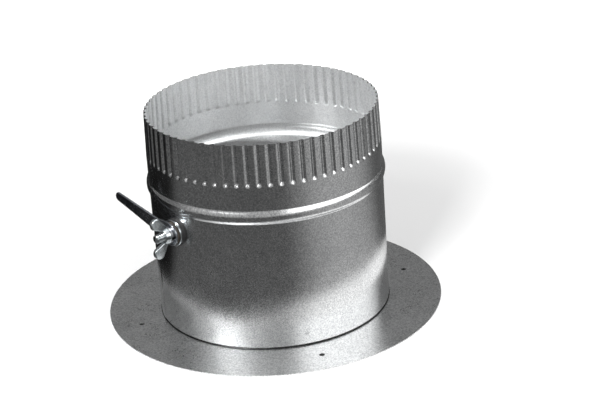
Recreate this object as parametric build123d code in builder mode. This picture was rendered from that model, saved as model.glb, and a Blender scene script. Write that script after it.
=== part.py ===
from build123d import *
import math
import os

# Round take-off collar with a hand damper, in millimetres.
# +Z runs along the duct axis, from the mounting flange up to the crimped end.
# The origin is the centre of the flange's underside.
# The damper shaft lies along Y and its lever is on the -Y side.

# ---- Collar: a rolled sheet tube with a bead and a crimped end ----
duct_diameter = 203.2
collar_sheet = 0.6
collar_height = 185.0
collar_foot = 2.3
bead_height = 121.5
bead_width = 12.0
bead_rise = 2.2
bead_fillet = 1.6
seam_angle = 248.0
seam_lap = 14.0
seam_step = 0.5
seam_clearance = 1.5
edge_tolerance = 0.05

# ---- Crimped end ----
crimp_length = 36.5
crimp_count = 68
crimp_depth = 1.7
crimp_ramp = 3.0
crimp_draw_in = 1.0
flute_half_width = 2.3
flute_floor_half = 0.5

# ---- Mounting flange, and its drawn neck inside the collar ----
flange_diameter = 295.6
flange_sheet = 0.8
neck_height = 13.0
neck_bend = 1.2
neck_clearance = 0.05
flange_hole_diameter = 5.0
flange_hole_circle = 247.0
flange_hole_count = 4
flange_hole_angle = 67.5

# ---- Damper shaft, turned down to a double-D and a thread at the lever end ----
shaft_height = 99.0
shaft_diameter = 9.5
shaft_tail = 9.0
thread_diameter = 7.94
thread_length = 14.5
thread_chamfer = 0.8
flat_width = 7.9
running_clearance = 0.05
rest_tilt = 12.5

# ---- Bearings in the collar wall ----
bush_sleeve_diameter = 13.8
bush_flange_diameter = 20.0
bush_flange_thickness = 1.5
bush_hole_clearance = 0.1
bush_seat_clearance = 0.05
gasket_diameter = 24.0
gasket_thickness = 2.2
gasket_seat_clearance = 0.02

# ---- Washers, clip and nut on the shaft ----
washer_hole_clearance = 0.1
backing_washer_diameter = 23.0
backing_washer_thickness = 2.0
friction_washer_diameter = 20.0
friction_washer_thickness = 1.6
thrust_washer_diameter = 18.0
thrust_washer_thickness = 1.0
clip_diameter = 16.5
clip_thickness = 0.9
clip_groove_depth = 0.9
clip_lobe_count = 3
clip_lobe_width = 2.7
clip_clearance = 0.05
lock_washer_diameter = 14.4
lock_washer_thickness = 2.0
lock_washer_gap = 2.4
push_nut_diameter = 17.0
push_nut_thickness = 0.8
push_nut_dome = 2.4

# ---- Lever ----
lever_thickness = 1.9
lever_length = 74.5
lever_hub_radius = 10.0
lever_root_width = 12.6
lever_tip_width = 7.8
lever_root_distance = 21.0
lever_hole_clearance = 0.06

# ---- Wing nut ----
nut_base_diameter = 15.0
nut_top_diameter = 11.6
nut_height = 8.0
nut_thread_clearance = 0.06
wing_span = 32.0
wing_height = 15.5
wing_foot = 2.0
wing_thickness = 3.0
wing_tip_radius = 3.4
wing_angle = 105.0

# ---- Blade and the two straps that hold it to the shaft ----
blade_diameter = 197.6
blade_sheet = 0.8
blade_notch_width = 26.0
blade_notch_clearance = 2.0
blade_rib_offset = 48.0
blade_rib_length = 120.0
blade_rib_width = 9.0
blade_rib_rise = 1.6
seat_clearance = 0.02
strap_sheet = 1.2
strap_width = 16.0
strap_foot = 14.0
strap_offset = 58.0
rivet_diameter = 4.8
rivet_head_diameter = 9.0
rivet_head_height = 1.6
rivet_shoulder_height = 1.3
rivet_tail_diameter = 7.4
rivet_tail_height = 1.3
rivet_hole_clearance = 0.05

# ---- Radii and stations that follow from the sizes above ----
collar_radius = duct_diameter / 2
collar_bore = collar_radius - collar_sheet
shaft_radius = shaft_diameter / 2
thread_radius = thread_diameter / 2
wall_hole_radius = bush_sleeve_diameter / 2 + bush_hole_clearance
crimp_start = collar_height - crimp_length
crimp_radius = collar_radius - crimp_draw_in
neck_radius = collar_bore - neck_clearance
neck_bore = neck_radius - flange_sheet
neck_top = flange_sheet + neck_height
bend_foot = neck_radius + neck_bend
bend_top = flange_sheet + neck_bend

# Stations along the shaft, measured outwards from the duct axis on either side.
bush_flange_outer = math.sqrt(collar_bore**2 - (bush_flange_diameter / 2) ** 2) - bush_seat_clearance
bush_flange_inner = bush_flange_outer - bush_flange_thickness
gasket_outer = collar_radius + gasket_thickness
backing_washer_outer = gasket_outer + backing_washer_thickness
friction_washer_outer = backing_washer_outer + friction_washer_thickness
lever_outer = friction_washer_outer + lever_thickness
lock_washer_outer = lever_outer + lock_washer_thickness
thread_start = lever_outer - clip_clearance
thread_end = thread_start + thread_length
thrust_washer_inner = bush_flange_inner - thrust_washer_thickness
clip_inner = thrust_washer_inner - clip_thickness
push_nut_seat = backing_washer_outer
shaft_tail_end = collar_radius + shaft_tail

# The damper turns about the shaft: local X lies in the blade, local Y is the
# blade's upper side, and local Z runs outwards along the shaft to the lever.
tilt = math.radians(rest_tilt)
blade_x = (math.cos(tilt), 0, -math.sin(tilt))
shaft_centre = (0, 0, shaft_height)
lever_side = Plane(origin=shaft_centre, x_dir=blade_x, z_dir=(0, -1, 0))
tail_side = Plane(origin=shaft_centre, x_dir=blade_x, z_dir=(0, 1, 0))
blade_top = -shaft_radius - seat_clearance
blade_plane = Plane(
    origin=shaft_centre, x_dir=blade_x, z_dir=(math.sin(tilt), 0, math.cos(tilt))
).offset(blade_top)

rivet_offset = shaft_radius + seat_clearance + strap_sheet + strap_foot / 2
rivet_places = [
    (side * rivet_offset, end * strap_offset) for side in (1, -1) for end in (1, -1)
]

os.makedirs("parts", exist_ok=True)


def save(builder, name):
    """Label a finished piece and write it as its own STEP file."""
    builder.part.label = name
    export_step(builder.part, f"parts/{name}.step")


def polar(radius, degrees):
    """A point of the duct's cross-section."""
    angle = math.radians(degrees)
    return (radius * math.cos(angle), radius * math.sin(angle))


def flute_prism(outer_depth, outer_half, inner_depth, inner_half, ramp_offset):
    """A straight prism along the crimped end, with its foot cut off along the ramp.

    Depths are measured inwards from the wall's outer face, and the halves are the
    prism's half widths at those depths.
    """
    lean = math.atan2(crimp_draw_in, crimp_length)
    along = (-math.sin(lean), 0, math.cos(lean))
    base = Plane(origin=(collar_radius, 0, crimp_start), x_dir=(0, 1, 0), z_dir=along)
    slope = math.atan2(crimp_depth, crimp_ramp)
    ramp_normal = (-math.cos(slope), 0, -math.sin(slope))
    ramp = Plane(origin=base.origin, z_dir=ramp_normal).offset(ramp_offset)
    with BuildPart() as prism:
        with BuildSketch(base.offset(-crimp_ramp)):
            with BuildLine():
                Polyline(
                    (-outer_half, outer_depth),
                    (-inner_half, inner_depth),
                    (inner_half, inner_depth),
                    (outer_half, outer_depth),
                    close=True,
                )
            make_face()
        extrude(amount=crimp_length + 2 * crimp_ramp)
        split(bisect_by=ramp, keep=Keep.BOTTOM)
    return prism


def wall_line(radius):
    """The collar wall's line from its foot to the crimp, with the rolled bead."""
    half = bead_width / 2
    low = Line((radius, collar_foot), (radius, bead_height - half))
    bulge = ThreePointArc(
        low @ 1, (radius + bead_rise, bead_height), (radius, bead_height + half)
    )
    top = Line(bulge @ 1, (radius, crimp_start))
    Line(top @ 1, (radius - crimp_draw_in, collar_height))


# ---- The collar shell ----
# Each flute is a groove pressed into the wall's outer face and a ridge on its inner face.
groove_spread = (flute_half_width - flute_floor_half) / crimp_depth
flute_groove = flute_prism(
    -crimp_depth,
    flute_half_width + groove_spread * crimp_depth,
    crimp_depth,
    flute_floor_half,
    0,
)
flute_ridge = flute_prism(
    collar_sheet / 2,
    flute_half_width + collar_sheet / 2,
    crimp_depth + collar_sheet,
    flute_floor_half + collar_sheet / 2,
    collar_sheet,
)

with BuildPart() as collar_shell:
    with BuildSketch(Plane.XZ):
        with BuildLine():
            wall_line(collar_radius)
            wall_line(collar_bore)
            Line((collar_bore, collar_foot), (collar_radius, collar_foot))
            Line((collar_bore - crimp_draw_in, collar_height), (crimp_radius, collar_height))
        make_face()
    revolve(axis=Axis.Z)
    bead_limits = (bead_height - bead_width / 2, bead_height + bead_width / 2)
    bead_edges = collar_shell.edges().filter_by(
        lambda edge: any(abs(edge.center().Z - limit) < edge_tolerance for limit in bead_limits)
    )
    fillet(bead_edges.filter_by(GeomType.CIRCLE), bead_fillet)
    # Lap seam: the outer layer of sheet feathers into the wall behind its free edge.
    seam_spans = (
        (collar_foot, bead_height - bead_width / 2 - seam_clearance),
        (bead_height + bead_width / 2 + seam_clearance, crimp_start - seam_clearance),
    )
    seam_turn = math.degrees(seam_lap / collar_radius)
    seam_root = collar_radius - collar_sheet / 2
    for seam_low, seam_high in seam_spans:
        with BuildSketch(Plane.XY.offset(seam_low)):
            with BuildLine():
                edge = Line(
                    polar(seam_root, seam_angle),
                    polar(collar_radius + seam_step, seam_angle),
                )
                ThreePointArc(
                    edge @ 1,
                    polar(collar_radius + seam_step / 2, seam_angle - seam_turn / 2),
                    polar(seam_root, seam_angle - seam_turn),
                )
                CenterArc((0, 0), seam_root, seam_angle - seam_turn, seam_turn)
            make_face()
        extrude(amount=seam_high - seam_low)
    # Bearing holes on both sides of the wall.
    with BuildSketch(Plane(origin=shaft_centre, z_dir=(0, -1, 0))):
        Circle(wall_hole_radius)
    extrude(amount=collar_radius + collar_sheet, both=True, mode=Mode.SUBTRACT)
    with PolarLocations(0, crimp_count):
        add(flute_ridge.part)
    with PolarLocations(0, crimp_count):
        add(flute_groove.part, mode=Mode.SUBTRACT)
    with BuildSketch(Plane.XY.offset(collar_height)):
        Circle(collar_radius)
    extrude(amount=2 * crimp_ramp, mode=Mode.SUBTRACT)
save(collar_shell, "collar_shell")

# ---- The mounting flange: a flat ring that bends up at its inner edge ----
with BuildPart() as flange_ring:
    with BuildSketch(Plane.XZ):
        with BuildLine():
            Polyline(
                (bend_foot, 0),
                (flange_diameter / 2, 0),
                (flange_diameter / 2, flange_sheet),
                (bend_foot, flange_sheet),
            )
            RadiusArc((bend_foot, flange_sheet), (neck_radius, bend_top), neck_bend)
            Line((neck_radius, bend_top), (neck_bore, bend_top))
            RadiusArc((neck_bore, bend_top), (bend_foot, 0), -(neck_bend + flange_sheet))
        make_face()
    revolve(axis=Axis.Z)
    with BuildSketch():
        with PolarLocations(
            flange_hole_circle / 2, flange_hole_count, start_angle=flange_hole_angle
        ):
            Circle(flange_hole_diameter / 2)
    extrude(amount=flange_sheet, mode=Mode.SUBTRACT)
save(flange_ring, "flange_ring")

# ---- The flange's neck, which the collar slides over ----
with BuildPart() as flange_neck:
    with BuildSketch(Plane.XY.offset(bend_top)):
        Circle(neck_radius)
        Circle(neck_bore, mode=Mode.SUBTRACT)
    extrude(amount=neck_top - bend_top)
save(flange_neck, "flange_neck")


def ring(plane, inner_station, outer_station, outer_radius, inner_radius):
    """A flat ring on the shaft between two stations."""
    with BuildPart() as piece:
        with BuildSketch(plane.offset(inner_station)):
            Circle(outer_radius)
            Circle(inner_radius, mode=Mode.SUBTRACT)
        extrude(amount=outer_station - inner_station)
    return piece


# ---- Bearings: a flanged bush from inside, a soft gasket against the curved wall outside ----
def bush(plane):
    """A flanged plastic bush: its flange lies inside the wall, its sleeve passes through."""
    with BuildPart() as piece:
        with BuildSketch(plane.offset(bush_flange_inner)):
            Circle(bush_flange_diameter / 2)
        extrude(amount=bush_flange_thickness)
        with BuildSketch(plane.offset(bush_flange_outer)):
            Circle(bush_sleeve_diameter / 2)
        extrude(amount=gasket_outer - bush_flange_outer)
        with BuildSketch(plane.offset(bush_flange_inner)):
            Circle(shaft_radius + running_clearance)
        extrude(amount=gasket_outer - bush_flange_inner, mode=Mode.SUBTRACT)
    return piece


def gasket(plane):
    """A round gasket, flat outside and moulded to the collar's curve inside."""
    with BuildPart() as piece:
        with BuildSketch(plane.offset(collar_bore - gasket_thickness)):
            Circle(gasket_diameter / 2)
            Circle(wall_hole_radius, mode=Mode.SUBTRACT)
        extrude(amount=gasket_outer - collar_bore + gasket_thickness)
        with BuildSketch(Plane.XY):
            Circle(collar_radius + gasket_seat_clearance)
        extrude(amount=collar_height, mode=Mode.SUBTRACT)
    return piece


washer_bore = shaft_radius + washer_hole_clearance
for side, plane in (("lever", lever_side), ("tail", tail_side)):
    save(bush(plane), f"{side}_side_bush")
    save(gasket(plane), f"{side}_side_gasket")
    backing = ring(
        plane, gasket_outer, backing_washer_outer, backing_washer_diameter / 2, washer_bore
    )
    save(backing, f"{side}_side_washer")

friction_washer = ring(
    lever_side, backing_washer_outer, friction_washer_outer, friction_washer_diameter / 2, washer_bore
)
save(friction_washer, "friction_washer")

thrust_washer = ring(
    lever_side, thrust_washer_inner, bush_flange_inner, thrust_washer_diameter / 2, washer_bore
)
save(thrust_washer, "thrust_washer")

# ---- The shaft: full rod, clip groove, double-D under the lever, threaded end ----
groove_radius = shaft_radius - clip_groove_depth
with BuildPart() as shaft:
    with BuildSketch(tail_side.offset(-clip_inner)):
        Circle(shaft_radius)
    extrude(amount=clip_inner + shaft_tail_end)
    with BuildSketch(lever_side.offset(clip_inner)):
        Circle(groove_radius)
    extrude(amount=clip_thickness)
    with BuildSketch(lever_side.offset(thrust_washer_inner)):
        Circle(shaft_radius)
    extrude(amount=friction_washer_outer - thrust_washer_inner)
    with BuildSketch(lever_side.offset(friction_washer_outer)):
        Circle(shaft_radius)
        Rectangle(shaft_diameter, flat_width, mode=Mode.INTERSECT)
    extrude(amount=thread_start - friction_washer_outer)
    with BuildSketch(lever_side.offset(thread_start)):
        Circle(thread_radius)
    extrude(amount=thread_end - thread_start)
    thread_tip = shaft.faces().sort_by(Axis.Y)[0]
    chamfer(thread_tip.edges(), thread_chamfer)
save(shaft, "shaft")

# ---- The clip: an open ring snapped into the shaft's groove, with three lobes inside ----
with BuildPart() as retaining_clip:
    with BuildSketch(lever_side.offset(clip_inner + clip_clearance)):
        Circle(clip_diameter / 2)
        Circle(shaft_radius + clip_thickness, mode=Mode.SUBTRACT)
        with PolarLocations(0, clip_lobe_count, start_angle=90):
            with Locations(((groove_radius + clip_diameter / 2) / 2 - clip_clearance, 0)):
                Rectangle(clip_diameter / 2 - groove_radius - 2 * clip_clearance, clip_lobe_width)
        Circle(groove_radius + clip_clearance, mode=Mode.SUBTRACT)
        with Locations((0, -clip_diameter / 2)):
            Rectangle(2 * groove_radius, clip_diameter / 2, mode=Mode.SUBTRACT)
    extrude(amount=clip_thickness - 2 * clip_clearance)
save(retaining_clip, "retaining_clip")

# ---- The lever: a round hub that flows into a tapering arm ----
with BuildPart() as lever:
    with BuildSketch(lever_side.offset(friction_washer_outer)):
        Circle(lever_hub_radius)
        with BuildLine():
            tip_centre = lever_length - lever_tip_width / 2
            upper = Line(
                (-lever_root_distance, lever_root_width / 2), (-tip_centre, lever_tip_width / 2)
            )
            tip = ThreePointArc(upper @ 1, (-lever_length, 0), (-tip_centre, -lever_tip_width / 2))
            lower = Line(tip @ 1, (-lever_root_distance, -lever_root_width / 2))
            hub_low = (0, -lever_hub_radius)
            hub_high = (0, lever_hub_radius)
            Spline(lower @ 1, hub_low, tangents=[lower % 1, (1, 0)])
            Line(hub_low, hub_high)
            Spline(hub_high, upper @ 0, tangents=[(-1, 0), upper % 0])
        make_face()
    extrude(amount=lever_thickness)
    with BuildSketch(lever_side.offset(friction_washer_outer)):
        Circle(shaft_radius + lever_hole_clearance)
        Rectangle(
            shaft_diameter + 2 * lever_hole_clearance,
            flat_width + 2 * lever_hole_clearance,
            mode=Mode.INTERSECT,
        )
    extrude(amount=lever_thickness, mode=Mode.SUBTRACT)
save(lever, "lever")

# ---- The split lock washer under the nut ----
with BuildPart() as lock_washer:
    with BuildSketch(lever_side.offset(lever_outer)):
        Circle(lock_washer_diameter / 2)
        Circle(thread_radius + washer_hole_clearance, mode=Mode.SUBTRACT)
        with Locations((lock_washer_diameter / 2, 0)):
            Rectangle(lock_washer_diameter, lock_washer_gap, mode=Mode.SUBTRACT)
    extrude(amount=lock_washer_thickness)
save(lock_washer, "lock_washer")

# ---- The wing nut: a tapered hub with two upswept wings ----
wing_turn = math.radians(rest_tilt - wing_angle)
nut_seat = Plane(
    origin=shaft_centre, x_dir=(math.cos(wing_turn), 0, -math.sin(wing_turn)), z_dir=(0, -1, 0)
).offset(lock_washer_outer)
wing_plane = Plane(origin=nut_seat.origin, x_dir=nut_seat.x_dir, z_dir=-nut_seat.y_dir)
with BuildPart() as wing_nut:
    with BuildSketch(nut_seat):
        Circle(nut_base_diameter / 2)
    with BuildSketch(nut_seat.offset(nut_height)):
        Circle(nut_top_diameter / 2)
    loft()
    # Each wing is drawn from the hub's axis outwards, with its round ear beyond the hub's top.
    for turn in (1, -1):
        with BuildSketch(wing_plane):
            with BuildLine():
                ear = (turn * (wing_span / 2 - wing_tip_radius), wing_height - wing_tip_radius)
                root_low = (0, wing_foot)
                root_high = (0, nut_height)
                outer_side = (turn * wing_span / 2, ear[1])
                inner_side = (turn * (wing_span / 2 - 2 * wing_tip_radius), ear[1])
                Line(root_high, root_low)
                Line(root_low, (turn * nut_base_diameter / 2, wing_foot))
                Line((turn * nut_base_diameter / 2, wing_foot), outer_side)
                ThreePointArc(outer_side, (ear[0], wing_height), inner_side)
                Line(inner_side, (turn * nut_top_diameter / 2, nut_height))
                Line((turn * nut_top_diameter / 2, nut_height), root_high)
            make_face()
        extrude(amount=wing_thickness / 2, both=True)
    with BuildSketch(nut_seat):
        Circle(thread_radius + nut_thread_clearance)
    extrude(amount=nut_height, mode=Mode.SUBTRACT)
save(wing_nut, "wing_nut")

# ---- The push nut that holds the shaft's plain end ----
with BuildPart() as push_nut:
    with BuildSketch(tail_side.offset(push_nut_seat)):
        Circle(push_nut_diameter / 2)
    extrude(amount=push_nut_thickness)
    with BuildSketch(tail_side.offset(push_nut_seat)):
        Circle(shaft_radius + 2 * push_nut_thickness)
    extrude(amount=push_nut_dome)
    with BuildSketch(tail_side.offset(push_nut_seat)):
        Circle(shaft_radius + running_clearance)
    extrude(amount=push_nut_dome, mode=Mode.SUBTRACT)
save(push_nut, "push_nut")

# ---- The blade: a disc under the shaft with two pressed ribs and a notch at each bearing ----
notch_start = clip_inner - blade_notch_clearance
with BuildPart() as blade:
    with BuildSketch(blade_plane):
        Circle(blade_diameter / 2)
        for end in (1, -1):
            with Locations((0, end * (notch_start + blade_diameter / 4))):
                Rectangle(blade_notch_width, blade_diameter / 2, mode=Mode.SUBTRACT)
    extrude(amount=-blade_sheet)
    for rib in (1, -1):
        rib_centre = rib * blade_rib_offset
        with BuildSketch(blade_plane.offset(-blade_sheet)):
            with Locations((rib_centre, 0)):
                SlotOverall(blade_rib_length, blade_rib_width, rotation=90)
        with BuildSketch(blade_plane.offset(blade_rib_rise)):
            with Locations((rib_centre, 0)):
                SlotOverall(
                    blade_rib_length - blade_rib_width / 2, blade_rib_width / 2, rotation=90
                )
        loft()
        with BuildSketch(blade_plane.offset(-blade_sheet)):
            with Locations((rib_centre, 0)):
                SlotOverall(
                    blade_rib_length - 2 * blade_sheet, blade_rib_width - 2 * blade_sheet, rotation=90
                )
        with BuildSketch(blade_plane.offset(blade_rib_rise - blade_sheet)):
            with Locations((rib_centre, 0)):
                SlotOverall(
                    blade_rib_length - blade_rib_width / 2 - 2 * blade_sheet,
                    blade_rib_width / 2 - 2 * blade_sheet,
                    rotation=90,
                )
        loft(mode=Mode.SUBTRACT)
    with BuildSketch(blade_plane):
        with Locations(*rivet_places):
            Circle(rivet_diameter / 2 + rivet_hole_clearance)
    extrude(amount=-blade_sheet, mode=Mode.SUBTRACT)
save(blade, "blade")

# ---- The straps over the shaft ----
strap_inner = shaft_radius + seat_clearance
strap_reach = strap_inner + strap_sheet
foot_top = blade_top + strap_sheet


def strap(end):
    """A strap bent over the shaft, with a flat foot on the blade at each side."""
    with BuildPart() as piece:
        with BuildSketch(lever_side.offset(end * strap_offset - strap_width / 2)):
            Circle(strap_reach)
            with Locations((0, blade_top / 2)):
                Rectangle(2 * strap_reach, -blade_top)
            with Locations((0, blade_top + strap_sheet / 2)):
                Rectangle(2 * (strap_reach + strap_foot), strap_sheet)
            Circle(strap_inner, mode=Mode.SUBTRACT)
            with Locations((0, blade_top / 2)):
                Rectangle(2 * strap_inner, -blade_top, mode=Mode.SUBTRACT)
            with Locations((0, blade_top - strap_reach / 2)):
                Rectangle(2 * strap_reach, strap_reach, mode=Mode.SUBTRACT)
        extrude(amount=strap_width)
        with BuildSketch(blade_plane):
            with Locations(*rivet_places):
                Circle(rivet_diameter / 2 + rivet_hole_clearance)
        extrude(amount=strap_sheet, mode=Mode.SUBTRACT)
    return piece


save(strap(1), "lever_side_strap")
save(strap(-1), "tail_side_strap")

# ---- The rivets: a domed head on each strap foot, a flat tail under the blade ----
def rivet(place):
    """One rivet, turned about its own axis and set through strap and blade."""
    head_top = strap_sheet + rivet_head_height
    tail_end = -blade_sheet - rivet_tail_height
    with BuildPart() as piece:
        centre = blade_plane.from_local_coords((*place, 0))
        with BuildSketch(Plane(origin=centre, x_dir=blade_x, z_dir=(0, -1, 0))):
            with BuildLine():
                Line((0, tail_end), (0, head_top))
                dome = (rivet_head_diameter / 2, strap_sheet)
                ThreePointArc(
                    (0, head_top),
                    (rivet_head_diameter / 4, strap_sheet + rivet_shoulder_height),
                    dome,
                )
                Polyline(
                    dome,
                    (rivet_diameter / 2, strap_sheet),
                    (rivet_diameter / 2, -blade_sheet),
                    (rivet_tail_diameter / 2, -blade_sheet),
                    (rivet_tail_diameter / 2, tail_end),
                    (0, tail_end),
                )
            make_face()
        revolve(axis=Axis(centre, blade_plane.z_dir))
    return piece


with BuildPart() as strap_rivets:
    for place in rivet_places:
        add(rivet(place).part)
save(strap_rivets, "strap_rivets")
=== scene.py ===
# %% [markdown]
# # A round duct damper in galvanised steel
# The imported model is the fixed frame: each piece here takes its place from that model's
# boxes, in metres. The rolled collar is rebuilt as a smooth sheet with Geometry Nodes. The
# small turned and stamped pieces are copies of the frame's solids with their edges broken,
# because a real edge is never perfectly sharp and it is the edge that catches the light.
#
# The order is: finishes, collar, small pieces, wing nut, shaft, camera, stage and light.

# %% Load the frame
import math
import bmesh
import bpy
from mathutils import Matrix, Vector


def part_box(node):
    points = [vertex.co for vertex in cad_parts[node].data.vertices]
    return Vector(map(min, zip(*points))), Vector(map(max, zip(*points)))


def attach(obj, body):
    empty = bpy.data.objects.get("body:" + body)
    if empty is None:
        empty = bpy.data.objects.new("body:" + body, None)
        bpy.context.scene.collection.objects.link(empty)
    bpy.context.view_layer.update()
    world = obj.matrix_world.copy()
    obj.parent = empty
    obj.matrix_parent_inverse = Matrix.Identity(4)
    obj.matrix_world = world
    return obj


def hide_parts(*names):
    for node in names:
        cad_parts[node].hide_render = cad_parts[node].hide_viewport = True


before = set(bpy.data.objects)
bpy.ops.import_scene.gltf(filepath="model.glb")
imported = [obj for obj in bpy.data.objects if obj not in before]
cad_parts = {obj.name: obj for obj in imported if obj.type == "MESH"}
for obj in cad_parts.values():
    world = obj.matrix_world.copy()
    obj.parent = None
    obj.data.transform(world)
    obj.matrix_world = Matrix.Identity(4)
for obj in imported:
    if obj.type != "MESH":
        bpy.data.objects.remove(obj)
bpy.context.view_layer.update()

mm = 0.001

# %% [markdown]
# ## Node trees written as Python
# A node tree is hard to read as a list of links. Here a small class wraps one socket, and
# Python's own operators add the Math nodes, so that a pattern reads like a formula. Every
# other kind of node comes from one method, which sets the node's settings first and then the
# values or links of its sockets.

# %% A socket that does arithmetic
class Wire:
    """A socket of a node tree. Sums with it add Math nodes to the tree."""

    def __init__(self, tree, socket):
        self.tree = tree
        self.socket = socket

    def math(self, operation, *others):
        values = {f"Value_{place:03d}": value for place, value in enumerate(others, 1)}
        return self.tree.add("ShaderNodeMath", {"operation": operation}, Value=self, **values)["Value"]

    def __add__(self, other):
        return self.math("ADD", other)

    def __sub__(self, other):
        return self.math("SUBTRACT", other)

    def __rsub__(self, other):
        return (self * -1.0).math("ADD", other)

    def __mul__(self, other):
        return self.math("MULTIPLY", other)

    def __truediv__(self, other):
        return self.math("DIVIDE", other)

    __radd__ = __add__
    __rmul__ = __mul__

    def clamped(self):
        """Held between 0 and 1."""
        return self.math("MINIMUM", 1.0).math("MAXIMUM", 0.0)

    def rise(self, low, high):
        """0 below low, 1 above high, and a smooth slope between them."""
        return self.tree.add(
            "ShaderNodeMapRange",
            {"interpolation_type": "SMOOTHSTEP"},
            Value=self,
            From_Min=low,
            From_Max=high,
        )["Result"]


print("a socket can be added, multiplied and compared")

# %% [markdown]
# A socket is found by its identifier first, because some nodes have several sockets of one
# name: a Mix node has one A for numbers and one for colours, and only their identifiers
# differ. With that, one method can add any node.

# %% Nodes and trees
def find_socket(sockets, name):
    """A socket by its identifier, or by its name with _ for a space or a hyphen."""
    for socket in sockets:
        if socket.identifier == name:
            return socket
    return sockets[name.replace("_", " ")]


class Node:
    """A node whose outputs are read as wires, by name or by identifier."""

    def __init__(self, tree, node):
        self.tree = tree
        self.node = node

    def __getitem__(self, name):
        return Wire(self.tree, find_socket(self.node.outputs, name))


class Tree:
    """A node tree, emptied, with one method that adds any node."""

    def __init__(self, tree):
        self.tree = tree
        self.tree.nodes.clear()

    def add(self, kind, settings=None, **values):
        node = self.tree.nodes.new(kind)
        for name, value in (settings or {}).items():
            setattr(node, name, value)
        for name, value in values.items():
            self.plug(find_socket(node.inputs, name), value)
        return Node(self, node)

    def plug(self, socket, value):
        if isinstance(value, Wire):
            self.tree.links.new(value.socket, socket)
        elif isinstance(value, Node):
            self.tree.links.new(value.node.outputs[0], socket)
        else:
            socket.default_value = value


def new_material(name):
    """A material and its emptied tree."""
    material = bpy.data.materials.new(name)
    material.use_nodes = True
    return material, Tree(material.node_tree)


print("node trees can be written as formulas")

# %% [markdown]
# Every finish below mixes a dark and a light tone by some pattern, and ends in a Principled
# shader whose Normal comes from a height. Those two steps are written once, here.

# %% Steps that all finishes share
def blend(tree, amount, dark, light):
    """The colour that lies between two others; amount 0 gives dark and 1 gives light."""
    return tree.add(
        "ShaderNodeMix",
        {"data_type": "RGBA"},
        Factor_Float=amount.clamped(),
        A_Color=(*dark, 1.0),
        B_Color=(*light, 1.0),
    )["Result_Color"]


def surface(tree, height, **looks):
    """End a material's tree: a Principled shader with these looks, bumped by a height."""
    bump = tree.add("ShaderNodeBump", Strength=1.0, Distance=1.0, Height=height)
    shader = tree.add("ShaderNodeBsdfPrincipled", Normal=bump, **looks)
    tree.add("ShaderNodeOutputMaterial", Surface=shader)


print("finishes can share their first and last steps")

# %% [markdown]
# ## Zinc on steel
# Hot-dip galvanised sheet carries crystals of zinc, the spangle. Each crystal has its own
# tone and its own gloss. Over them lie the long marks of the rolls and a fine grain. A flat
# grey with one roughness looks like plastic, so here a Voronoi cell gives each crystal its
# tone, stretched noise gives the roll marks, and both also vary the roughness. The inside of
# the collar has a paler, rougher and only partly metallic copy of the zinc, and its pale tone
# is painted light that brightens the inside. Within a given distance of the duct's axis the
# ring's zinc is darkened: painted shade in the bend between flange and neck.

# %% Galvanised finish
def galvanised(
    name, tone, roughness, spangle_size, grain, streak_scale, wave, bend_shade_radius=0.0, metal=1.0
):
    """Zinc-coated sheet. streak_scale stretches the roll marks, smallest along the roll."""
    material, tree = new_material(name)
    place = tree.add("ShaderNodeTexCoord")["Object"]
    warp = tree.add("ShaderNodeTexNoise", Vector=place, Scale=140.0, Detail=2.0)["Color"]
    warp = tree.add("ShaderNodeVectorMath", {"operation": "SCALE"}, Vector=warp, Scale=spangle_size)
    warped = tree.add("ShaderNodeVectorMath", {"operation": "ADD"}, Vector=place, Vector_001=warp)
    crystal = tree.add(
        "ShaderNodeTexVoronoi", Vector=warped, Scale=1.0 / spangle_size, Randomness=1.0
    )["Color"]
    crystal_tone = tree.add("ShaderNodeSeparateColor", Color=crystal)["Red"]
    stretched = tree.add("ShaderNodeMapping", Vector=place, Scale=streak_scale)
    streak = tree.add("ShaderNodeTexNoise", Vector=stretched, Scale=1.0, Detail=5.0, Roughness=0.65)["Fac"]
    cloud = tree.add("ShaderNodeTexNoise", Vector=place, Scale=26.0, Detail=4.0, Roughness=0.6)["Fac"]
    fine = tree.add("ShaderNodeTexNoise", Vector=place, Scale=760.0, Detail=3.0, Roughness=0.75)["Fac"]
    speck = tree.add("ShaderNodeTexNoise", Vector=place, Scale=620.0, Detail=2.0)["Fac"].rise(0.66, 0.74)
    worn = (crystal_tone - 0.5) * 0.14 + (streak - 0.5) * 0.30 + (cloud - 0.5) * 0.30
    level = worn + (fine - 0.5) * 3.0 * grain - speck * 0.16 * grain + 0.5
    dark = [tone * part for part in (0.74, 0.75, 0.76)]
    light = [min(tone * part, most) for part, most in ((1.24, 0.98), (1.25, 0.99), (1.25, 0.99))]
    colour = blend(tree, level, dark, light)
    # Painted shade: within this distance of the duct's axis the zinc is darkened, in the bend between
    # flange and neck.
    if bend_shade_radius:
        flat_place = tree.add("ShaderNodeMapping", Vector=place, Scale=(1.0, 1.0, 0.0))
        from_axis = tree.add("ShaderNodeVectorMath", {"operation": "LENGTH"}, Vector=flat_place)["Value"]
        unshaded = from_axis.rise(bend_shade_radius, bend_shade_radius + 0.6 * mm) * 0.94 + 0.06
        colour = tree.add("ShaderNodeVectorMath", {"operation": "SCALE"}, Vector=colour, Scale=unshaded)
    gloss = roughness + (crystal_tone - 0.5) * 0.03 + (cloud - 0.5) * 0.10 + (fine - 0.5) * 0.10
    height = cloud * wave + streak * (wave * 0.18) + fine * (0.010 * mm * grain)
    surface(tree, height, Base_Color=colour, Metallic=metal, Roughness=gloss)
    return material


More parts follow.
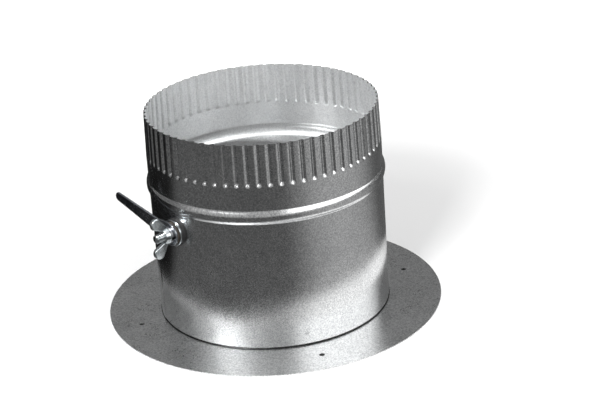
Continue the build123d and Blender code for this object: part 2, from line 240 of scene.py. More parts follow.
wall_look = {"spangle_size": 5.0 * mm, "streak_scale": (60.0, 60.0, 4.0), "wave": 0.16 * mm}
tube_zinc = galvanised("galvanised_tube", tone=0.58, roughness=0.21, grain=1.25, **wall_look)
# Painted light: the inside is a paler, partly dull copy of the zinc, so that it renders brighter.
inner_zinc = galvanised(
    "galvanised_inside", tone=0.94, roughness=0.37, grain=0.9, metal=0.80, **wall_look
)
ring_look = {
    "tone": 0.62,
    "roughness": 0.30,
    "spangle_size": 4.0 * mm,
    "grain": 1.8,
    "streak_scale": (9.0, 70.0, 70.0),
    "wave": 0.08 * mm,
}
neck_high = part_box("flange_neck")[1]
ring_zinc = galvanised("galvanised_ring", bend_shade_radius=neck_high.x + 0.9 * mm, **ring_look)
neck_zinc = galvanised("galvanised_neck", **ring_look)
# Painted shade: the blade's zinc is set very dark, for the dim inside of the collar; the straps use it
# too.
blade_zinc = galvanised(
    "galvanised_blade",
    tone=0.15,
    roughness=0.30,
    spangle_size=6.0 * mm,
    grain=1.0,
    streak_scale=(70.0, 8.0, 70.0),
    wave=0.12 * mm,
)
print("galvanised finishes:", tube_zinc.name, ring_zinc.name, blade_zinc.name)

# %% [markdown]
# ## Bright zinc and spring steel
# The nut, lever and washers are electroplated: a thin bright zinc with a cold tint, a little
# duller where hands and tools have rubbed it. The spring pieces are darker oiled steel. Such
# small pieces need contrast more than pattern, so a coarse cloud mixes a dull and a bright
# tone, stretched noise scratches them and a Voronoi distance gives the pits of the casting.

# %% Plated and sprung steel
def plated(name, dull, bright, roughness, scratch):
    """Smooth metal with cloudy tone and fine scratches across it."""
    material, tree = new_material(name)
    place = tree.add("ShaderNodeTexCoord")["Object"]
    cloud = tree.add("ShaderNodeTexNoise", Vector=place, Scale=180.0, Detail=4.0)["Fac"]
    across = tree.add("ShaderNodeMapping", Vector=place, Scale=(300.0, 2600.0, 900.0))
    marks = tree.add("ShaderNodeTexNoise", Vector=across, Scale=1.0, Detail=3.0)["Fac"]
    pits = tree.add("ShaderNodeTexVoronoi", Vector=place, Scale=900.0)["Distance"].rise(0.05, 0.22)
    tone = (cloud - 0.5) * 1.4 + (marks - 0.5) * 0.5 + 0.55
    colour = blend(tree, tone, dull, bright)
    gloss = roughness + (cloud - 0.5) * 0.16 + (marks - 0.5) * scratch
    height = marks * (0.004 * mm) + pits * (0.004 * mm)
    surface(tree, height, Base_Color=colour, Metallic=1.0, Roughness=gloss)
    return material


bright_zinc = plated("bright_zinc", (0.26, 0.29, 0.31), (0.80, 0.84, 0.85), 0.16, 0.12)
# The lever's zinc is a darker copy of the bright zinc: a painted reflection of the dark surroundings that
# the lever faces.
lever_zinc = plated("lever_zinc", (0.16, 0.17, 0.19), (0.42, 0.44, 0.47), 0.24, 0.14)
spring_steel = plated("spring_steel", (0.24, 0.24, 0.25), (0.46, 0.47, 0.49), 0.32, 0.14)
rivet_aluminium = plated("rivet_aluminium", (0.62, 0.62, 0.63), (0.82, 0.82, 0.83), 0.36, 0.10)
print("plated finishes:", bright_zinc.name, lever_zinc.name, spring_steel.name)

# %% [markdown]
# ## The dark pieces
# The gaskets are black rubber, the friction disc is pressed fibre and the bushes are moulded.
# None of them is one even black: dust and a moulded grain lighten them in patches, so one
# function mixes a dark and a light tone by dust, flecks and grain.

# %% Rubber, fibre and plastic
def matte(name, dark, light, roughness, grain_scale, grain_height):
    """A pale-flecked matte surface with a moulded grain."""
    material, tree = new_material(name)
    place = tree.add("ShaderNodeTexCoord")["Object"]
    grain = tree.add("ShaderNodeTexNoise", Vector=place, Scale=grain_scale, Detail=4.0)["Fac"]
    dust = tree.add("ShaderNodeTexNoise", Vector=place, Scale=90.0, Detail=3.0)["Fac"].rise(0.45, 0.75)
    fleck = tree.add("ShaderNodeTexVoronoi", Vector=place, Scale=grain_scale * 0.6)["Distance"]
    amount = dust * 0.45 + (1 - fleck.rise(0.04, 0.20)) * 0.35 + (grain - 0.5) * 0.6
    colour = blend(tree, amount, dark, light)
    gloss = roughness + (grain - 0.5) * 0.2
    surface(tree, grain * grain_height, Base_Color=colour, Roughness=gloss)
    return material


rubber = matte("gasket_rubber", (0.008, 0.008, 0.009), (0.05, 0.05, 0.05), 0.62, 1400.0, 0.03 * mm)
fibre = matte("friction_fibre", (0.025, 0.019, 0.014), (0.13, 0.10, 0.07), 0.75, 1100.0, 0.05 * mm)
bush_plastic = matte("bush_plastic", (0.015, 0.015, 0.016), (0.06, 0.06, 0.06), 0.42, 700.0, 0.01 * mm)
print("matte finishes:", rubber.name, fibre.name, bush_plastic.name)

# %% [markdown]
# ## The collar: one rolled sheet
# The collar is a strip of sheet rolled into a tube, lapped along a seam, with a bead rolled
# in and one end crimped so that it slips inside the next duct. Every height has one radius,
# and the crimp repeats around it, so a rule describes the whole piece. Geometry Nodes bends
# a flat grid by that rule: the rows read their height and radius from a short line of
# points, the columns are the angle, and a flute is a groove that depends on both.

# %% Sizes of the collar
collar_low, collar_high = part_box("collar_shell")
shaft_low, shaft_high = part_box("shaft")
shaft_height = (shaft_low.z + shaft_high.z) / 2
gasket_outside = 2.2 * mm
wall_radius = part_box("tail_side_gasket")[1].y - gasket_outside
sheet = 0.6 * mm
bead_height, bead_half, bead_rise, bead_blend = 121.5 * mm, 6.0 * mm, 2.2 * mm, 1.4 * mm
crimp_length = 36.5 * mm
crimp_foot = collar_high.z - crimp_length
crimp_draw_in = 1.0 * mm
print("wall radius", round(wall_radius / mm, 2), "mm, height", round(collar_high.z / mm, 1), "mm")

# %% [markdown]
# The line of points is closer together where the sheet bends, at the bead and at the foot of
# the flutes, and far apart on the plain wall. That keeps the mesh light.

# %% The wall's line
def wall_offset(height):
    """How far the wall stands out from its plain radius at this height."""
    from_bead = abs(height - bead_height)
    bulge = max(0.0, 1.0 - (from_bead / bead_half) ** 2)
    foot_blend = 0.002
    softened = math.sqrt(bulge * bulge + foot_blend) - math.sqrt(foot_blend)
    draw_in = max(0.0, (height - crimp_foot) / (collar_high.z - crimp_foot)) * crimp_draw_in
    return bead_rise * softened - draw_in


def spread(start, end, count):
    """Evenly spaced heights from start up to, and without, end."""
    return [start + (end - start) * step / count for step in range(count)]


bead_low, bead_high = bead_height - bead_half - bead_blend, bead_height + bead_half + bead_blend
heights = (
    spread(collar_low.z, bead_low, 9)
    + spread(bead_low, bead_high, 17)
    + spread(bead_high, crimp_foot - 2 * mm, 2)
    + spread(crimp_foot - 2 * mm, crimp_foot + 5 * mm, 10)
    + spread(crimp_foot + 5 * mm, collar_high.z, 7)
    + [collar_high.z]
)
wall_points = [(wall_radius + wall_offset(height), 0.0, height) for height in heights]
wall_line = bpy.data.meshes.new("collar_sheet")
wall_line.from_pydata(wall_points, [(i, i + 1) for i in range(len(wall_points) - 1)], [])
collar = bpy.data.objects.new("collar_sheet", wall_line)
bpy.context.collection.objects.link(collar)
print("the wall's line has", len(wall_points), "points")

# %% [markdown]
# The tree's inputs carry the sizes by name, so that the same tree could roll another collar.

# %% Inputs of the rolling tree
def new_geometry_tree(name, inputs):
    """A Geometry Nodes tree with a geometry in and out, and one named input for each size."""
    group = bpy.data.node_groups.new(name, "GeometryNodeTree")
    group.interface.new_socket("Geometry", in_out="INPUT", socket_type="NodeSocketGeometry")
    for label, kind in inputs.items():
        group.interface.new_socket(label, in_out="INPUT", socket_type=kind)
    group.interface.new_socket("Geometry", in_out="OUTPUT", socket_type="NodeSocketGeometry")
    return group, Tree(group)


number, whole, finish = "NodeSocketFloat", "NodeSocketInt", "NodeSocketMaterial"
collar_inputs = {
    "Columns": whole,
    "Wall Radius": number,
    "Flutes": whole,
    "Flute Depth": number,
    "Flute Wide Side": number,
    "Flute Steep Side": number,
    "Flute Floor": number,
    "Flute Foot": number,
    "Flute Run-out": number,
    "Seam Angle": number,
    "Seam Lap": number,
    "Seam Step": number,
    "Waviness": number,
    "Hole Height": number,
    "Hole Radius": number,
    "Material": finish,
}
collar_group, tree = new_geometry_tree("rolled_sheet", collar_inputs)
given = tree.add("NodeGroupInput")
print("rolled_sheet has", len(collar_inputs), "named inputs")

# %% [markdown]
# A flat grid gives the faces. Its points are numbered column by column, so the remainder of
# a point's number by the row count is its row, and the whole part is its column. The row
# picks a height and radius from the line, and the column gives the angle round the duct.

# %% Rows, columns and angle
rows = tree.add("GeometryNodeAttributeDomainSize", Geometry=given["Geometry"])["Point Count"]
grid = tree.add("GeometryNodeMeshGrid", Vertices_X=given["Columns"] + 1, Vertices_Y=rows)["Mesh"]
index = tree.add("GeometryNodeInputIndex")["Index"]
row = index.math("MODULO", rows)
column = (index / rows).math("FLOOR")
point = tree.add(
    "GeometryNodeSampleIndex",
    {"data_type": "FLOAT_VECTOR"},
    Geometry=given["Geometry"],
    Value=tree.add("GeometryNodeInputPosition"),
    Index=row,
)["Value"]
station = tree.add("ShaderNodeSeparateXYZ", Vector=point)
radius, height = station["X"], station["Z"]
angle = column / given["Columns"] * math.tau
turn_cos, turn_sin = angle.math("COSINE"), angle.math("SINE")
print("grid laid out with", len(collar_group.nodes), "nodes")

# %% [markdown]
# The crimping wheel presses one flute after another. A flute is steeper on one side than on
# the other. Its depth is the product of two slopes: one across the flute, and one along the
# wall, where it runs out at its foot. A noise in the groove would be simpler, but a crimp is
# regular work of a machine, and its even rhythm is what the eye knows it by.

# %% The flutes
flute_phase = (angle * given["Flutes"] / math.tau + 0.5).math("FRACT") - 0.5
from_flute = flute_phase.math("ABSOLUTE") * math.tau * given["Wall Radius"] / given["Flutes"]
wide_side = flute_phase.math("LESS_THAN", 0.0)
side_width = given["Flute Steep Side"] * (1 - wide_side) + given["Flute Wide Side"] * wide_side
across_flute = 1 - from_flute.rise(given["Flute Floor"], side_width)
along_flute = height.rise(given["Flute Foot"], given["Flute Foot"] + given["Flute Run-out"])
print("flutes add up to", len(collar_group.nodes), "nodes")

# %% [markdown]
# Where the sheet's ends overlap, the wall stands out by one thickness and falls back slowly
# behind the seam. Hand-rolled sheet is never quite round either, so a low wide noise moves
# the wall in and out a little. Both fade out in the flutes, which the wheel has trued up.

# %% Seam and waviness
behind_seam = (given["Seam Angle"] - angle) * given["Wall Radius"] / given["Seam Lap"]
on_lap = behind_seam.math("GREATER_THAN", 0.0) * behind_seam.math("LESS_THAN", 1.0)
on_bead = (radius - given["Wall Radius"]).rise(0.0, 0.2 * mm)
lap = on_lap * (1 - behind_seam) * (1 - on_bead) * (1 - along_flute) * given["Seam Step"]

ring_place = tree.add("ShaderNodeCombineXYZ", X=turn_cos, Y=turn_sin, Z=height * 9.0)
wander = tree.add("ShaderNodeTexNoise", Vector=ring_place, Scale=2.6, Detail=2.0)["Fac"]
wave = (wander - 0.5) * given["Waviness"] * (1 - along_flute)
print("seam and waviness add up to", len(collar_group.nodes), "nodes")

# %% [markdown]
# Now the grid is bent round the duct's axis, and the first and last columns are merged into
# one. Faces near the shaft's axis are deleted for the two holes, which the gaskets cover.
# The tree ends in Realize Instances and Set Material, so that only plain faces leave it.

# %% Bend, pierce and finish
reach = radius - across_flute * along_flute * given["Flute Depth"] + lap + wave
rolled = tree.add(
    "GeometryNodeSetPosition",
    Geometry=grid,
    Position=tree.add("ShaderNodeCombineXYZ", X=reach * turn_cos, Y=reach * turn_sin, Z=height),
)["Geometry"]
closed = tree.add("GeometryNodeMergeByDistance", Geometry=rolled, Distance=0.01 * mm)["Geometry"]
here = tree.add("ShaderNodeSeparateXYZ", Vector=tree.add("GeometryNodeInputPosition"))
rise_from_shaft = here["Z"] - given["Hole Height"]
from_shaft = (here["X"] * here["X"] + rise_from_shaft * rise_from_shaft).math("SQRT")
pierced = tree.add(
    "GeometryNodeDeleteGeometry",
    {"domain": "FACE"},
    Geometry=closed,
    Selection=from_shaft.math("LESS_THAN", given["Hole Radius"]),
)["Geometry"]
smooth = tree.add("GeometryNodeSetShadeSmooth", Geometry=pierced)["Geometry"]
real = tree.add("GeometryNodeRealizeInstances", Geometry=smooth)["Geometry"]
coated = tree.add("GeometryNodeSetMaterial", Geometry=real, Material=given["Material"])["Geometry"]
tree.add("NodeGroupOutput", Geometry=coated)
print("rolled_sheet has", len(collar_group.nodes), "nodes")

# %% [markdown]
# A modifier runs the tree. Its inputs are set by the identifier of each socket, because two
# sockets may share a name. The result is then turned into a plain mesh, so that nothing
# depends on the modifier any more.

# %% Run a tree and keep its mesh
def keep_evaluated(ob):
    """Make what ob's modifiers show its plain mesh, and remove the modifiers."""
    evaluated = ob.evaluated_get(bpy.context.evaluated_depsgraph_get())
    made = bpy.data.meshes.new_from_object(evaluated)
    ob.modifiers.clear()
    ob.data = made
    return ob


def run_tree(ob, group, sizes):
    """Give ob the mesh that the tree makes with these sizes, as plain vertices and faces."""
    modifier = ob.modifiers.new("shape", "NODES")
    modifier.node_group = group
    for item in group.interface.items_tree:
        if item.in_out == "INPUT" and item.name in sizes:
            modifier[item.identifier] = sizes[item.name]
    return keep_evaluated(ob)


print("a tree's result can be kept as a mesh")

# %% [markdown]
# A mesh needs care before it is a solid: open ends are closed, faces look outwards, and the
# edges that are real corners are marked, so that smooth shading doesn't smear across them.

# %% Care of a mesh
def close_ends(ob):
    """Close a tube's open ends with flat faces, and point every face outwards."""
    bm = bmesh.new()
    bm.from_mesh(ob.data)
    bmesh.ops.holes_fill(bm, edges=[edge for edge in bm.edges if edge.is_boundary])
    bmesh.ops.recalc_face_normals(bm, faces=bm.faces)
    for edge in bm.edges:
        edge.smooth = edge.calc_face_angle(0.0) < math.radians(60)
    bm.to_mesh(ob.data)
    bm.free()


def sharpen(ob, limit):
    """Mark edges sharper than the limit, so that smooth shading stops at them."""
    bm = bmesh.new()
    bm.from_mesh(ob.data)
    corners = [edge for edge in bm.edges if edge.calc_face_angle(0.0) > limit]
    for edge in corners:
        edge.smooth = False
    bm.to_mesh(ob.data)
    bm.free()
    return len(corners)


def face_outwards(ob):
    """Turn a tube about the upright axis inside out if most of its faces look inwards."""
    bm = bmesh.new()
    bm.from_mesh(ob.data)
    inward = [f for f in bm.faces if f.normal.xy.dot(f.calc_center_median().xy) < 0]
    if len(inward) > len(bm.faces) / 2:
        bmesh.ops.reverse_faces(bm, faces=bm.faces)
    bm.to_mesh(ob.data)
    bm.free()


print("meshes can be closed, sharpened and turned outwards")

# %% [markdown]
# The tree is run with the collar's sizes. It makes a skin without thickness, so Solidify
# thickens it inwards and gives the inner side its own finish. The finished sheet rides on
# the collar's body and stands for the frame's plain shell.

# %% Roll the collar
run_tree(
    collar,
    collar_group,
    {
        "Columns": 816,
        "Wall Radius": wall_radius,
        "Flutes": 68,
        "Flute Depth": 1.75 * mm,
        "Flute Wide Side": 3.5 * mm,
        "Flute Steep Side": 1.7 * mm,
        "Flute Floor": 0.2 * mm,
        "Flute Foot": crimp_foot - 0.5 * mm,
        "Flute Run-out": 3.6 * mm,
        "Seam Angle": math.radians(248.0),
        "Seam Lap": 14.0 * mm,
        "Seam Step": 0.5 * mm,
        "Waviness": 0.35 * mm,
        "Hole Height": shaft_height,
        "Hole Radius": 8.0 * mm,
        "Material": tube_zinc,
    },
)
face_outwards(collar)
thickness = collar.modifiers.new("sheet", "SOLIDIFY")
thickness.thickness = sheet
thickness.offset = -1.0
thickness.material_offset = 1
collar.data.materials.append(inner_zinc)
keep_evaluated(collar)
sharp_edges = sharpen(collar, math.radians(50))
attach(collar, "collar")
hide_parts("collar_shell")
print("collar sheet has", len(collar.data.polygons), "faces and", sharp_edges, "sharp edges")

# %% [markdown]
# ## Stamped and turned pieces
# Washers, straps, lever and nut already have their true shape in the frame. Each is copied,
# its loose triangles are merged into flat faces, and a Bevel modifier breaks its edges. The
# copy then stands for the frame's piece.

# %% Copy a piece of the frame and break its edges
def merged_copy(node):
    """A copy of a frame node's mesh, with its triangles merged into larger faces."""
    bm = bmesh.new()
    bm.from_mesh(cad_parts[node].data)
    bmesh.ops.remove_doubles(bm, verts=bm.verts, dist=0.0005 * mm)
    bmesh.ops.dissolve_limit(
        bm, angle_limit=math.radians(0.5), verts=bm.verts, edges=bm.edges, delimit={"NORMAL"}
    )
    mesh = bpy.data.meshes.new(node + "_dressed")
    bm.to_mesh(mesh)
    bm.free()
    return mesh


def soften(ob, edge, segments):
    """Round the sharp edges and keep the flat faces flat under smooth shading."""
    ob.data.shade_smooth()
    bevel = ob.modifiers.new("edge", "BEVEL")
    bevel.width = edge
    bevel.segments = segments
    bevel.limit_method = "ANGLE"
    bevel.angle_limit = math.radians(35)
    weighted = ob.modifiers.new("flat faces stay flat", "WEIGHTED_NORMAL")
    weighted.mode = "FACE_AREA_WITH_ANGLE"
    weighted.weight = 100


def dress(node, body, material, edge, segments=2):
    """Replace a frame node by a copy with broken edges and this finish."""
    ob = bpy.data.objects.new(node + "_dressed", merged_copy(node))
    bpy.context.collection.objects.link(ob)
    ob.data.materials.append(material)
    soften(ob, edge, segments)
    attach(ob, body)
    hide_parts(node)
    return ob


print("a frame piece can be copied and its edges broken")

# %% [markdown]
# Every piece gets the finish of its own metal or plastic, and an edge as wide as its making
# leaves it: narrow on sheared sheet, wider on pressed washers and on moulded rubber.

# %% Dress the small pieces
dress("flange_ring", "collar", ring_zinc, 0.20 * mm)
dress("flange_neck", "collar", neck_zinc, 0.15 * mm)
dress("blade", "damper", blade_zinc, 0.15 * mm)
for side in ("lever", "tail"):
    dress(f"{side}_side_bush", "collar", bush_plastic, 0.30 * mm)
    dress(f"{side}_side_gasket", "collar", rubber, 0.35 * mm)
    dress(f"{side}_side_washer", "damper", bright_zinc, 0.35 * mm)
    dress(f"{side}_side_strap", "damper", blade_zinc, 0.20 * mm)
dress("friction_washer", "damper", fibre, 0.25 * mm)
dress("thrust_washer", "damper", bright_zinc, 0.20 * mm)
dress("retaining_clip", "damper", spring_steel, 0.15 * mm)
dress("push_nut", "damper", spring_steel, 0.25 * mm)
dress("strap_rivets", "damper", rivet_aluminium, 0.15 * mm)
dress("lock_washer", "nut_seat", spring_steel, 0.35 * mm)
dress("lever", "damper", lever_zinc, 0.40 * mm, 3)
print("dressed the washers, clips, straps, blade, flange and lever")

# %% [markdown]
# ## The wing nut
# A wing nut is cast or pressed in one: a cone that carries the thread, and two round ears
# that a thumb and finger can turn. The cone is spun from its outline. Each ear is a flat
# outline given a thickness, and one Bevel rounds every edge, as the die does. Modelling it
# from a cube would also work, but the outlines keep its sizes in a few named numbers.

# %% Spin an outline into a ring
def lathe(bm, outline, segments):
    """Add a closed ring to bm: outline holds (radius, distance along the axis) in order."""
    rings = []
    for step in range(segments):
        turn = math.tau * step / segments
        spoke = [bm.verts.new((r * math.cos(turn), r * math.sin(turn), z)) for r, z in outline]
        rings.append(spoke)
    for step, spoke in enumerate(rings):
        after = rings[(step + 1) % segments]
        for place in range(len(outline)):
            follow = (place + 1) % len(outline)
            bm.faces.new((spoke[place], spoke[follow], after[follow], after[place]))


def prism(bm, outline, thickness):
    """Add a flat piece to bm: outline holds (x, z), and the thickness is along y."""
    sides = []
    for y in (-thickness / 2, thickness / 2):
        sides.append([bm.verts.new((x, y, z)) for x, z in outline])
    bm.faces.new(sides[0])
    bm.faces.new(reversed(sides[1]))
    for place in range(len(outline)):
        follow = (place + 1) % len(outline)
        bm.faces.new((sides[0][place], sides[1][place], sides[1][follow], sides[0][follow]))


def solid(name, bm, axes, material, edge, segments=2):
    """An object from bm, set on its axes, with its edges rounded."""
    bmesh.ops.recalc_face_normals(bm, faces=bm.faces)
    mesh = bpy.data.meshes.new(name)
    bm.to_mesh(mesh)
    bm.free()
    mesh.transform(axes)
    mesh.materials.append(material)
    ob = bpy.data.objects.new(name, mesh)
    bpy.context.collection.objects.link(ob)
    soften(ob, edge, segments)
    return ob


print("outlines can be spun and thickened")

# %% [markdown]
# The nut's place comes from the frame's plain nut. It stands on the shaft's axis, looks out
# of the wall, and leans by the angle at which the last turn of tightening left it.

# %% Cast the wing nut
nut_low, nut_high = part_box("wing_nut")
nut_height, nut_bore, nut_base, nut_top = 5.2 * mm, 4.03 * mm, 7.3 * mm, 5.8 * mm
foot_height = 1.4 * mm
wing_height = nut_high.y - nut_low.y
ear_flare = 2.0 * mm
wing_reach = (nut_high.z - nut_low.z) / 2 + ear_flare
ear_radius, wing_thickness, wing_clear = 5.3 * mm, 3.8 * mm, 0.4 * mm
ear_x, ear_z = wing_reach - ear_radius, wing_height - ear_radius
bm = bmesh.new()
lathe(
    bm,
    [
        (nut_bore, 0.0),
        (nut_base, 0.0),
        (nut_base, foot_height),
        (nut_top, nut_height),
        (nut_bore, nut_height),
    ],
    48,
)
for side in (1, -1):
    ear = [
        (ear_x + ear_radius * math.cos(turn), ear_z + ear_radius * math.sin(turn))
        for turn in (math.radians(-40 + 16 * step) for step in range(12))
    ]
    root = nut_bore + 1.0 * mm
    wing = [(root, wing_clear), (nut_base, wing_clear)] + ear + [(root, nut_height)]
    prism(bm, [(side * x, z) for x, z in wing], wing_thickness)
wing_lean = math.radians(2.5)
nut_out = Vector((0.0, -1.0, 0.0))
nut_along = Vector((-math.sin(wing_lean), 0.0, math.cos(wing_lean)))
nut_axes = Matrix((nut_along, nut_out.cross(nut_along), nut_out)).transposed().to_4x4()
nut_axes.translation = Vector((0.0, nut_high.y, shaft_height))
wing_nut = solid("wing_nut_cast", bm, nut_axes, bright_zinc, 1.1 * mm, 4)
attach(wing_nut, "nut")
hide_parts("wing_nut")
print("wing nut", round(2 * wing_reach / mm, 1), "mm across its ears")

# %% [markdown]
# ## The shaft and its thread
# The shaft is a plain rod with a screw thread cut at the lever end. A thread is a groove
# whose depth depends on the angle and the distance along the rod together, so the same kind
# of tree that rolled the collar cuts it: a grid is bent into a tube, and the groove winds
# round it once for each pitch.

# %% The tree that cuts a thread
thread_inputs = {
    "Rows": whole,
    "Columns": whole,
    "Length": number,
    "Radius": number,
    "Pitch": number,
    "Depth": number,
    "Chamfer": number,
    "Material": finish,
}
thread_group, tree = new_geometry_tree("cut_thread", thread_inputs)
given = tree.add("NodeGroupInput")
thread_grid = tree.add("GeometryNodeMeshGrid", Vertices_X=given["Columns"] + 1, Vertices_Y=given["Rows"])
index = tree.add("GeometryNodeInputIndex")["Index"]
along = index.math("MODULO", given["Rows"]) / (given["Rows"] - 1) * given["Length"]
turn = (index / given["Rows"]).math("FLOOR") / given["Columns"] * math.tau
wind = (along / given["Pitch"] - turn / math.tau).math("FRACT")
groove = (1 - (wind - 0.5).math("ABSOLUTE") * 2.0).rise(0.05, 0.95)
from_tip = (given["Length"] - along) / given["Chamfer"]
tip = (1 - from_tip).math("MAXIMUM", 0.0) * given["Chamfer"]
thread_reach = given["Radius"] - (groove * given["Depth"]).math("MAXIMUM", tip)
thread_place = tree.add(
    "ShaderNodeCombineXYZ",
    X=thread_reach * turn.math("COSINE"),
    Y=thread_reach * turn.math("SINE"),
    Z=along,
)
threaded = tree.add("GeometryNodeSetPosition", Geometry=thread_grid, Position=thread_place)["Geometry"]
joined = tree.add("GeometryNodeMergeByDistance", Geometry=threaded, Distance=0.005 * mm)["Geometry"]
smooth = tree.add("GeometryNodeSetShadeSmooth", Geometry=joined)["Geometry"]
real = tree.add("GeometryNodeRealizeInstances", Geometry=smooth)["Geometry"]
plated_thread = tree.add("GeometryNodeSetMaterial", Geometry=real, Material=given["Material"])
tree.add("NodeGroupOutput", Geometry=plated_thread)
print("cut_thread has", len(thread_group.nodes), "nodes")

# %% [markdown]
# The frame's shaft is copied like the other pieces, cut off inside the nut, and the thread
# goes on from there to the tip. It starts inside the nut, so the joint is never seen.

# %% Rod and thread
def cut_off(ob, point, normal):
    """Cut away what lies beyond a plane, and close the cut."""
    bm = bmesh.new()
    bm.from_mesh(ob.data)
    everything = bm.verts[:] + bm.edges[:] + bm.faces[:]
    bmesh.ops.bisect_plane(bm, geom=everything, plane_co=point, plane_no=normal, clear_outer=True)
    bmesh.ops.holes_fill(bm, edges=[edge for edge in bm.edges if edge.is_boundary])
    bmesh.ops.recalc_face_normals(bm, faces=bm.faces)
    bm.to_mesh(ob.data)
    bm.free()


thread_overlap = 2.0 * mm
thread_root = Vector((0.0, nut_high.y + thread_overlap, shaft_height))
rod = dress("shaft", "damper", bright_zinc, 0.20 * mm)
cut_off(rod, thread_root, Vector((0.0, -1.0, 0.0)))
thread = bpy.data.objects.new("shaft_thread", bpy.data.meshes.new("shaft_thread"))
bpy.context.collection.objects.link(thread)
run_tree(
    thread,
    thread_group,
    {
        "Rows": 124,
        "Columns": 36,
        "Length": thread_root.y - shaft_low.y,
        "Radius": 3.97 * mm,
        "Pitch": 1.41 * mm,
        "Depth": 0.62 * mm,
        "Chamfer": 0.8 * mm,
        "Material": bright_zinc,
    },
)
close_ends(thread)
thread_axes = nut_axes.copy()
thread_axes.translation = thread_root
thread.data.transform(thread_axes)
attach(thread, "damper")
print("thread has", len(thread.data.polygons), "faces")

# %% [markdown]
# ## Camera
# The camera stands to the right of the lever, about 1.6 m away and 23 degrees up. A long lens
# keeps the collar's sides nearly parallel, and a slight roll leans the collar to the left.

# %% Camera
def rotated(x, y, degrees):
    """A point of the ground plan, turned about the duct's axis."""
    turn = math.radians(degrees)
    return (x * math.cos(turn) - y * math.sin(turn), x * math.sin(turn) + y * math.cos(turn))


camera_turn = 50.0
camera_rise = math.radians(23.36)
camera_roll = math.radians(-4.0)
camera_distance = 1.6036
target_aside, target_height = 0.0251, 0.0837
camera_target = Vector((*rotated(target_aside, 0.0, camera_turn), target_height))
back = Vector((*rotated(0.0, -math.cos(camera_rise), camera_turn), math.sin(camera_rise)))
right = Vector((*rotated(1.0, 0.0, camera_turn), 0.0))
up = back.cross(right)
rolled_right = right * math.cos(camera_roll) + up * math.sin(camera_roll)
rolled_up = up * math.cos(camera_roll) - right * math.sin(camera_roll)
camera_data = bpy.data.cameras.new("camera")
camera_data.sensor_width = 36.0
camera_data.lens = 110.7
camera = bpy.data.objects.new("camera", camera_data)
bpy.context.collection.objects.link(camera)
camera.matrix_world = Matrix.Translation(camera_target + back * camera_distance) @ Matrix(
    (rolled_right, rolled_up, back)
).transposed().to_4x4()
bpy.context.scene.camera = camera
bpy.context.scene.view_settings.view_transform = "Standard"
print("camera at", [round(v, 3) for v in camera.matrix_world.translation])

# %% [markdown]
# ## Stage
# A white floor fills the view and keeps the shadow. It is painted nearly white, and a weak
# glow that only the camera and reflections see makes it plain white where no shadow falls.
# Under the flange it is painted dark, as painted shade, so that no light leaks out round the rim.

# %% Floor
def flat_ring(name, inner, outer, height, segments):
    """A flat ring round the duct's axis, facing up."""
    turns = [math.tau * step / segments for step in range(segments)]
    points = [(r * math.cos(a), r * math.sin(a), height) for r in (inner, outer) for a in turns]
    faces = []
    for step in range(segments):
        after = (step + 1) % segments
        faces.append((step, step + segments, after + segments, after))
    mesh = bpy.data.meshes.new(name)
    mesh.from_pydata(points, [], faces)
    ob = bpy.data.objects.new(name, mesh)
    bpy.context.collection.objects.link(ob)
    return ob


floor = flat_ring("floor", 1.0 * mm, 8.0, 0.0, 96)
floor_white, tree = new_material("floor_white")
path = tree.add("ShaderNodeLightPath")
seen = path["Is Camera Ray"] + path["Is Glossy Ray"] + path["Is Transmission Ray"]
floor_spot = tree.add("ShaderNodeNewGeometry")["Position"]
floor_reach = tree.add("ShaderNodeVectorMath", {"operation": "LENGTH"}, Vector=floor_spot)["Value"]
past_flange = floor_reach.rise(0.145, 0.149)
floor_glow = past_flange * (0.12 + 0.40 * floor_reach.rise(0.30, 0.65))
# Painted shade: the floor is dark under the flange.
floor_tone = past_flange * 0.76 + 0.04
glow = tree.add("ShaderNodeEmission", Strength=seen.math("MINIMUM", 1.0) * floor_glow)
floor_paint = tree.add("ShaderNodeCombineColor", Red=floor_tone, Green=floor_tone, Blue=floor_tone)
paint = tree.add("ShaderNodeBsdfDiffuse", Color=floor_paint)
both = tree.add("ShaderNodeAddShader", Shader=glow, Shader_001=paint)
tree.add("ShaderNodeOutputMaterial", Surface=both)
floor.data.materials.append(floor_white)
print("floor ready")

# %% [markdown]
# Bare metal shows mostly what it reflects, so a studio gives it something to show: dark cloth
# low round the table, out of view, so that upright walls get depth, with a pale edge close
# to the flange and a lighter side on the right. The cloth is a flat ring that only
# reflections see, and it glows a little instead of being lit.

# %% Dark cloth
def toward(way, azimuth):
    """1 on the side this many degrees to the right of the camera, -1 opposite; and the reach."""
    turn = math.radians(azimuth)
    side = rotated(math.sin(turn), -math.cos(turn), camera_turn)
    length = (way["X"] * way["X"] + way["Y"] * way["Y"]).math("SQRT")
    return (way["X"] * side[0] + way["Y"] * side[1]) / length, length


card_start, card_end = 0.149, 0.157
cloth = flat_ring("dark_cloth", card_start, 6.0, 0.5 * mm, 180)
cloth_dark, tree = new_material("dark_cloth")
spot = tree.add("ShaderNodeSeparateXYZ", Vector=tree.add("ShaderNodeNewGeometry")["Position"])
bright_side, spot_reach = toward(spot, 66)
dark_side, _ = toward(spot, -140)
cloth_level = (0.12 + 0.42 * bright_side.rise(0.58, 1.08)) * (1 - 0.95 * dark_side.rise(0.55, 0.74))
card_level = (0.50 + 1.0 * bright_side.rise(0.40, 0.95)) * (1 - 0.8 * dark_side.rise(0.25, 0.85))
card_edge = spot_reach - 0.026 * bright_side.rise(-0.2, 1.0)
past_card = card_edge.rise(card_end, card_end + 0.012)
near_or_far = card_level * (1 - past_card) + cloth_level * past_card
cloth_glow = tree.add("ShaderNodeEmission", Strength=near_or_far)
tree.add("ShaderNodeOutputMaterial", Surface=cloth_glow)
cloth.data.materials.append(cloth_dark)
cloth.visible_camera = False
cloth.visible_diffuse = False
cloth.visible_shadow = False
print("cloth ready")

# %% [markdown]
# ## Light
# The world is white to the camera, and to everything else a dim room with a bright window on
# the right, which the flange and the foot of the wall reflect. A panorama of a real room would
# do the same, but a few smooth steps keep the metal's bands of light plain and in one's hand.

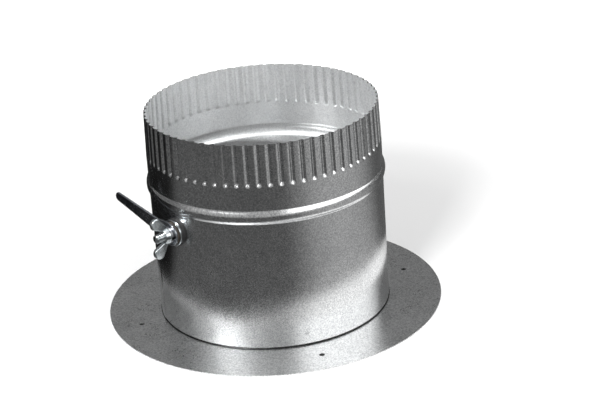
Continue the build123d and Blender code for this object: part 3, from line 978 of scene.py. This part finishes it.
# %% Sky
world = bpy.data.worlds.new("studio")
bpy.context.scene.world = world
world.use_nodes = True
tree = Tree(world.node_tree)
sky_way = tree.add("ShaderNodeSeparateXYZ", Vector=tree.add("ShaderNodeTexCoord")["Generated"])
front, _ = toward(sky_way, 0)
window, _ = toward(sky_way, 69)
low_band = sky_way["Z"].rise(0.10, 0.24) * (1 - sky_way["Z"].rise(0.58, 0.72))
sky_level = 0.17 + 0.30 * front.rise(-0.3, 0.5) + 0.6 * sky_way["Z"].rise(0.55, 0.95)
sky_level = sky_level + 2.5 * window.rise(0.48, 0.86) * low_band
sky_plain = tree.add("ShaderNodeBackground", Color=(1.0, 1.0, 1.0, 1.0), Strength=sky_level)
sky_white = tree.add("ShaderNodeBackground", Color=(1.0, 1.0, 1.0, 1.0), Strength=1.0)
sky = tree.add(
    "ShaderNodeMixShader",
    Fac=tree.add("ShaderNodeLightPath")["Is Camera Ray"],
    Shader=sky_plain,
    Shader_001=sky_white,
)
tree.add("ShaderNodeOutputWorld", Surface=sky)
print("sky ready")

# %% [markdown]
# Four soft lamps add to the sky. Reflections don't show the shade lamp: it lights the floor
# and the dull pieces, and gives the soft shadow. The overhead and fill lamps are seen in
# reflections alone: they light the metal without washing out the floor. The key does both.
# Which rays see a lamp is set by the lamp's own visibility switches.

# %% Lamps
def soft_lamp(name, direction, distance, size, power):
    """A square lamp that looks at the collar; its direction is given as seen by the camera."""
    data = bpy.data.lights.new(name, "AREA")
    data.shape = "SQUARE"
    data.size = size
    data.energy = power
    lamp = bpy.data.objects.new(name, data)
    bpy.context.collection.objects.link(lamp)
    away = Vector((*rotated(direction[0], direction[1], camera_turn), direction[2])).normalized()
    lamp.location = away * distance + Vector((0.0, 0.0, 0.1))
    lamp.rotation_mode = "QUATERNION"
    lamp.rotation_quaternion = away.to_track_quat("Z", "Y")
    lamp.visible_camera = False
    return lamp


overhead = soft_lamp("overhead", (0.0, 0.25, 1.0), distance=1.6, size=1.5, power=5.0)
soft_lamp("key", (-0.36, -0.62, 0.80), distance=1.8, size=0.22, power=5.0)
fill = soft_lamp("fill", (-0.58, -0.49, 0.84), distance=1.9, size=0.45, power=52.0)
shade = soft_lamp("shade", (-0.33, -0.76, 0.56), distance=3.0, size=0.6, power=64.0)
overhead.visible_diffuse = False
fill.visible_diffuse = False
shade.visible_glossy = False
print("lamps ready")
